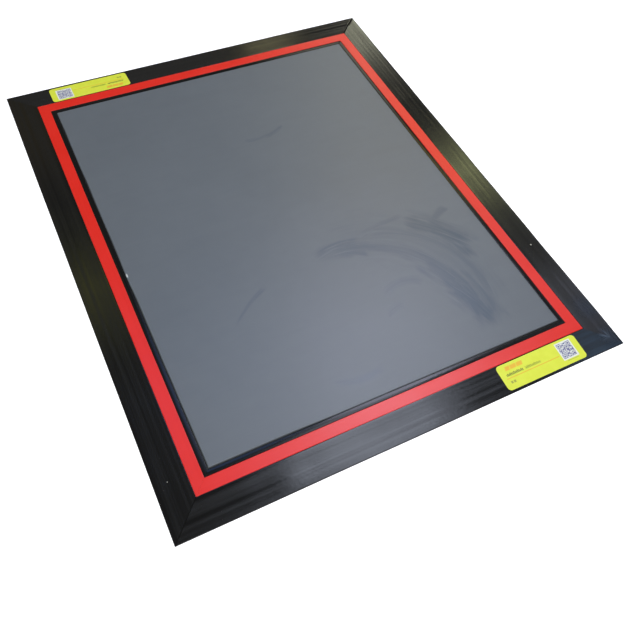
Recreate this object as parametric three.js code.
// A framed contamination-control floor mat: a grey tacky sheet, lying in a low
// mitred frame whose black edge profiles ramp up from the floor and carry an
// inlaid red strip. Everything is bonded to one thin base sheet.
//
// Millimetres, +Z up. The origin is on the floor at the middle of the footprint,
// +X to the right, +Y to the back.

import * as THREE from 'three';

// ---------------------------------------------------------------- driving dimensions

const WIDTH = 750;              // overall, along X
const LENGTH = 900;             // overall, along Y
const RAMP_WIDTH = 47;          // black ramp, floor edge to red strip
const RED_WIDTH = 20;           // red strip, with its clearances
const BORDER_WIDTH = 8;         // black lip between the red strip and the mat
const FIT_GAP = 0.3;            // clearance between fitted pieces
const MAT_GAP = 0.8;            // clearance round the grey mat in its recess
const MITRE_GAP = 0.3;          // open joint between two mitred ends

const BASE_THICK = 1.2;         // base sheet
const TAPE_THICK = 0.3;         // bonding tape and mat adhesive
const LIP_HEIGHT = 1.0;         // outer edge of the ramp
const CREST_HEIGHT = 4.5;       // top of the ramp, beside the red strip
const BORDER_HEIGHT = 4.4;      // top of the inner lip
const CHANNEL_FLOOR = 2.4;      // under the red strip
const RED_HEIGHT = 4.7;         // top of the red strip
const MAT_HEIGHT = 5.0;         // top of the grey mat

const FOOT_WIDTH = 14;          // part of the profile that stands on the floor
const KEYWAY = { start: 26, end: 42, top: 2.4 };   // groove in the underside for the keys
const KEY_THICK = 1.0;
const KEY_LEG = 110;            // corner key leg, from the frame's outer corner
const TAPE_START = 44;          // step in the underside where the tape begins
const TAPE_WIDTH = 28;

const LABEL = { width: 151, depth: 41, thick: 0.25, corner: 6, clearance: 0.05 };
const LABEL_FROM_EDGE = 4.5;    // floor edge to the label's outer side
const FRONT_LABEL_OFFSET = 229; // from the middle of its side, towards the right-hand end
const BACK_LABEL_OFFSET = 221;  // as seen when facing that side

const LIP_ROUND = 0.6;
const TOP_ROUND = 0.5;
const MAT_ROUND = 0.8;
const ARC_STEPS = 4;

// ---------------------------------------------------------------- derived dimensions

const RED_START = RAMP_WIDTH;
const RED_END = RED_START + RED_WIDTH;
const FRAME_WIDTH = RED_END + BORDER_WIDTH;
const RAMP_SLOPE = (CREST_HEIGHT - LIP_HEIGHT) / (RAMP_WIDTH - TOP_ROUND);

const SIDES = {
  front: { turn: 0, length: WIDTH, reach: LENGTH / 2 },
  right: { turn: Math.PI / 2, length: LENGTH, reach: WIDTH / 2 },
  back: { turn: Math.PI, length: WIDTH, reach: LENGTH / 2 },
  left: { turn: -Math.PI / 2, length: LENGTH, reach: WIDTH / 2 },
};

// ---------------------------------------------------------------- materials

const finish = (color, roughness) =>
  new THREE.MeshStandardMaterial({ color, roughness, metalness: 0 });

const BLACK_PVC = finish(0x1d1d1c, 0.38);
const RED_PVC = finish(0xdc2d26, 0.42);
const GREY_MAT = finish(0x757c85, 0.5);
const BASE_RUBBER = finish(0x2b2c2e, 0.8);
const TAPE = finish(0x303031, 0.6);
const KEY_PLASTIC = finish(0x3a3b3d, 0.5);
const LABEL_VINYL = finish(0xdce843, 0.45);

// ---------------------------------------------------------------- frame profile sections

// Sections are drawn across one side: x runs inward from the floor edge, y is height.

function rampHeight(inward) {
  return LIP_HEIGHT + RAMP_SLOPE * inward;
}

function profileSection() {
  const s = new THREE.Shape();
  s.moveTo(0, 0);
  s.lineTo(FOOT_WIDTH, 0);
  s.lineTo(FOOT_WIDTH, BASE_THICK);
  s.lineTo(KEYWAY.start, BASE_THICK);
  s.lineTo(KEYWAY.start, KEYWAY.top);
  s.lineTo(KEYWAY.end, KEYWAY.top);
  s.lineTo(KEYWAY.end, BASE_THICK);
  s.lineTo(TAPE_START, BASE_THICK);
  s.lineTo(TAPE_START, BASE_THICK + TAPE_THICK);
  s.lineTo(FRAME_WIDTH, BASE_THICK + TAPE_THICK);
  roundTop(s, FRAME_WIDTH, BORDER_HEIGHT);
  s.lineTo(RED_END + TOP_ROUND, BORDER_HEIGHT);
  s.quadraticCurveTo(RED_END, BORDER_HEIGHT, RED_END, BORDER_HEIGHT - TOP_ROUND);
  s.lineTo(RED_END, CHANNEL_FLOOR);
  s.lineTo(RED_START, CHANNEL_FLOOR);
  roundTop(s, RED_START, CREST_HEIGHT);
  s.lineTo(LIP_ROUND, rampHeight(LIP_ROUND));
  s.quadraticCurveTo(0, LIP_HEIGHT, 0, LIP_HEIGHT - LIP_ROUND);
  s.closePath();
  return s;
}

// Runs up a wall at x and rounds over to the left at the given height.
function roundTop(shape, x, height) {
  shape.lineTo(x, height - TOP_ROUND);
  shape.quadraticCurveTo(x, height, x - TOP_ROUND, height);
}

function redSection() {
  const s = new THREE.Shape();
  s.moveTo(RED_START + FIT_GAP, CHANNEL_FLOOR);
  s.lineTo(RED_END - FIT_GAP, CHANNEL_FLOOR);
  roundTop(s, RED_END - FIT_GAP, RED_HEIGHT);
  s.lineTo(RED_START + FIT_GAP + TOP_ROUND, RED_HEIGHT);
  s.quadraticCurveTo(RED_START + FIT_GAP, RED_HEIGHT,
    RED_START + FIT_GAP, RED_HEIGHT - TOP_ROUND);
  s.closePath();
  return s;
}

function tapeSection() {
  const s = new THREE.Shape();
  const start = TAPE_START + FIT_GAP;
  s.moveTo(start, BASE_THICK);
  s.lineTo(start + TAPE_WIDTH, BASE_THICK);
  s.lineTo(start + TAPE_WIDTH, BASE_THICK + TAPE_THICK);
  s.lineTo(start, BASE_THICK + TAPE_THICK);
  s.closePath();
  return s;
}

// A straight bar along X with both ends cut at 45 degrees towards the inside,
// its floor edge at y = 0 and its inside towards +Y.
function mitredBar(section, sideLength) {
  const bar = new THREE.ExtrudeGeometry(section,
    { depth: 1, bevelEnabled: false, curveSegments: ARC_STEPS });
  const points = bar.attributes.position;
  for (let i = 0; i < points.count; i++) {
    const inward = points.getX(i);
    const height = points.getY(i);
    const end = points.getZ(i) > 0.5 ? 1 : -1;
    const along = end * (sideLength / 2 - inward - MITRE_GAP * Math.SQRT1_2);
    points.setXYZ(i, along, inward, height);
  }
  bar.computeVertexNormals();
  return bar;
}

// ---------------------------------------------------------------- flat pieces

function plate(width, depth, bottom, top) {
  const box = new THREE.BoxGeometry(width, depth, top - bottom);
  box.translate(0, 0, (bottom + top) / 2);
  return box;
}

function roundedRectangle(width, depth, radius) {
  const s = new THREE.Shape();
  const x = width / 2;
  const y = depth / 2;
  s.moveTo(-x + radius, -y);
  s.absarc(x - radius, -y + radius, radius, -Math.PI / 2, 0);
  s.absarc(x - radius, y - radius, radius, 0, Math.PI / 2);
  s.absarc(-x + radius, y - radius, radius, Math.PI / 2, Math.PI);
  s.absarc(-x + radius, -y + radius, radius, Math.PI, 1.5 * Math.PI);
  return s;
}

// The tacky sheet, with its top edge eased all round.
function matSheet() {
  const bottom = BASE_THICK + TAPE_THICK;
  const width = WIDTH - 2 * FRAME_WIDTH - 2 * MAT_GAP;
  const depth = LENGTH - 2 * FRAME_WIDTH - 2 * MAT_GAP;
  const outline = roundedRectangle(width - 2 * MAT_ROUND, depth - 2 * MAT_ROUND, MAT_ROUND);
  const sheet = new THREE.ExtrudeGeometry(outline, {
    depth: MAT_HEIGHT - bottom - 2 * MAT_ROUND,
    bevelThickness: MAT_ROUND,
    bevelSize: MAT_ROUND,
    bevelSegments: ARC_STEPS,
    curveSegments: ARC_STEPS,
  });
  sheet.translate(0, 0, bottom + MAT_ROUND);
  return sheet;
}

// An L-shaped plate that lies in the keyways of two sides. It is drawn from the
// outer corner of the frame, with its legs along +X and +Y.
function cornerKey() {
  const near = KEYWAY.start + FIT_GAP;
  const far = KEYWAY.end - FIT_GAP;
  const s = new THREE.Shape();
  s.moveTo(near, near);
  s.lineTo(KEY_LEG, near);
  s.lineTo(KEY_LEG, far);
  s.lineTo(far, far);
  s.lineTo(far, KEY_LEG);
  s.lineTo(near, KEY_LEG);
  s.closePath();
  const key = new THREE.ExtrudeGeometry(s, { depth: KEY_THICK, bevelEnabled: false });
  key.translate(0, 0, BASE_THICK);
  return key;
}

// A label that lies on the ramp of one side, in that side's own axes.
function rampLabel() {
  const outline = roundedRectangle(LABEL.width, LABEL.depth, LABEL.corner);
  const label = new THREE.ExtrudeGeometry(outline,
    { depth: LABEL.thick, bevelEnabled: false, curveSegments: ARC_STEPS });
  const points = label.attributes.position;
  for (let i = 0; i < points.count; i++) {
    const inward = points.getY(i) + LABEL_FROM_EDGE + LABEL.depth / 2;
    const height = rampHeight(inward) + LABEL.clearance + points.getZ(i);
    points.setXYZ(i, points.getX(i), inward, height);
  }
  label.computeVertexNormals();
  return label;
}

// ---------------------------------------------------------------- assembly

const mat = new THREE.Group();

function add(group, name, geometry, material, x = 0, y = 0) {
  const mesh = new THREE.Mesh(geometry, material);
  mesh.name = name;
  mesh.position.set(x, y, 0);
  group.add(mesh);
}

function addSheets() {
  const inset = FOOT_WIDTH + FIT_GAP;
  const filmInset = FRAME_WIDTH + MAT_GAP + 1;
  add(mat, 'base_sheet',
    plate(WIDTH - 2 * inset, LENGTH - 2 * inset, 0, BASE_THICK), BASE_RUBBER);
  add(mat, 'mat_adhesive_film',
    plate(WIDTH - 2 * filmInset, LENGTH - 2 * filmInset, BASE_THICK, BASE_THICK + TAPE_THICK),
    TAPE);
  add(mat, 'tacky_mat', matSheet(), GREY_MAT);
}

function addSide(name, side) {
  const group = new THREE.Group();
  group.rotation.z = side.turn;
  add(group, `${name}_edge_profile`, mitredBar(profileSection(), side.length),
    BLACK_PVC, 0, -side.reach);
  add(group, `${name}_red_strip`, mitredBar(redSection(), side.length),
    RED_PVC, 0, -side.reach);
  add(group, `${name}_bonding_tape`, mitredBar(tapeSection(), side.length),
    TAPE, 0, -side.reach);
  if (name === 'front') {
    add(group, 'front_label', rampLabel(), LABEL_VINYL, FRONT_LABEL_OFFSET, -side.reach);
  }
  if (name === 'back') {
    add(group, 'back_label', rampLabel(), LABEL_VINYL, BACK_LABEL_OFFSET, -side.reach);
  }
  mat.add(group);
}

function addCornerKeys() {
  const corners = [
    ['front_left', -1, -1, 0],
    ['front_right', 1, -1, Math.PI / 2],
    ['back_right', 1, 1, Math.PI],
    ['back_left', -1, 1, -Math.PI / 2],
  ];
  for (const [name, sideX, sideY, turn] of corners) {
    const group = new THREE.Group();
    group.rotation.z = turn;
    group.position.set(sideX * WIDTH / 2, sideY * LENGTH / 2, 0);
    add(group, `${name}_corner_key`, cornerKey(), KEY_PLASTIC);
    mat.add(group);
  }
}

addSheets();
for (const [name, side] of Object.entries(SIDES)) addSide(name, side);
addCornerKeys();

export default mat;
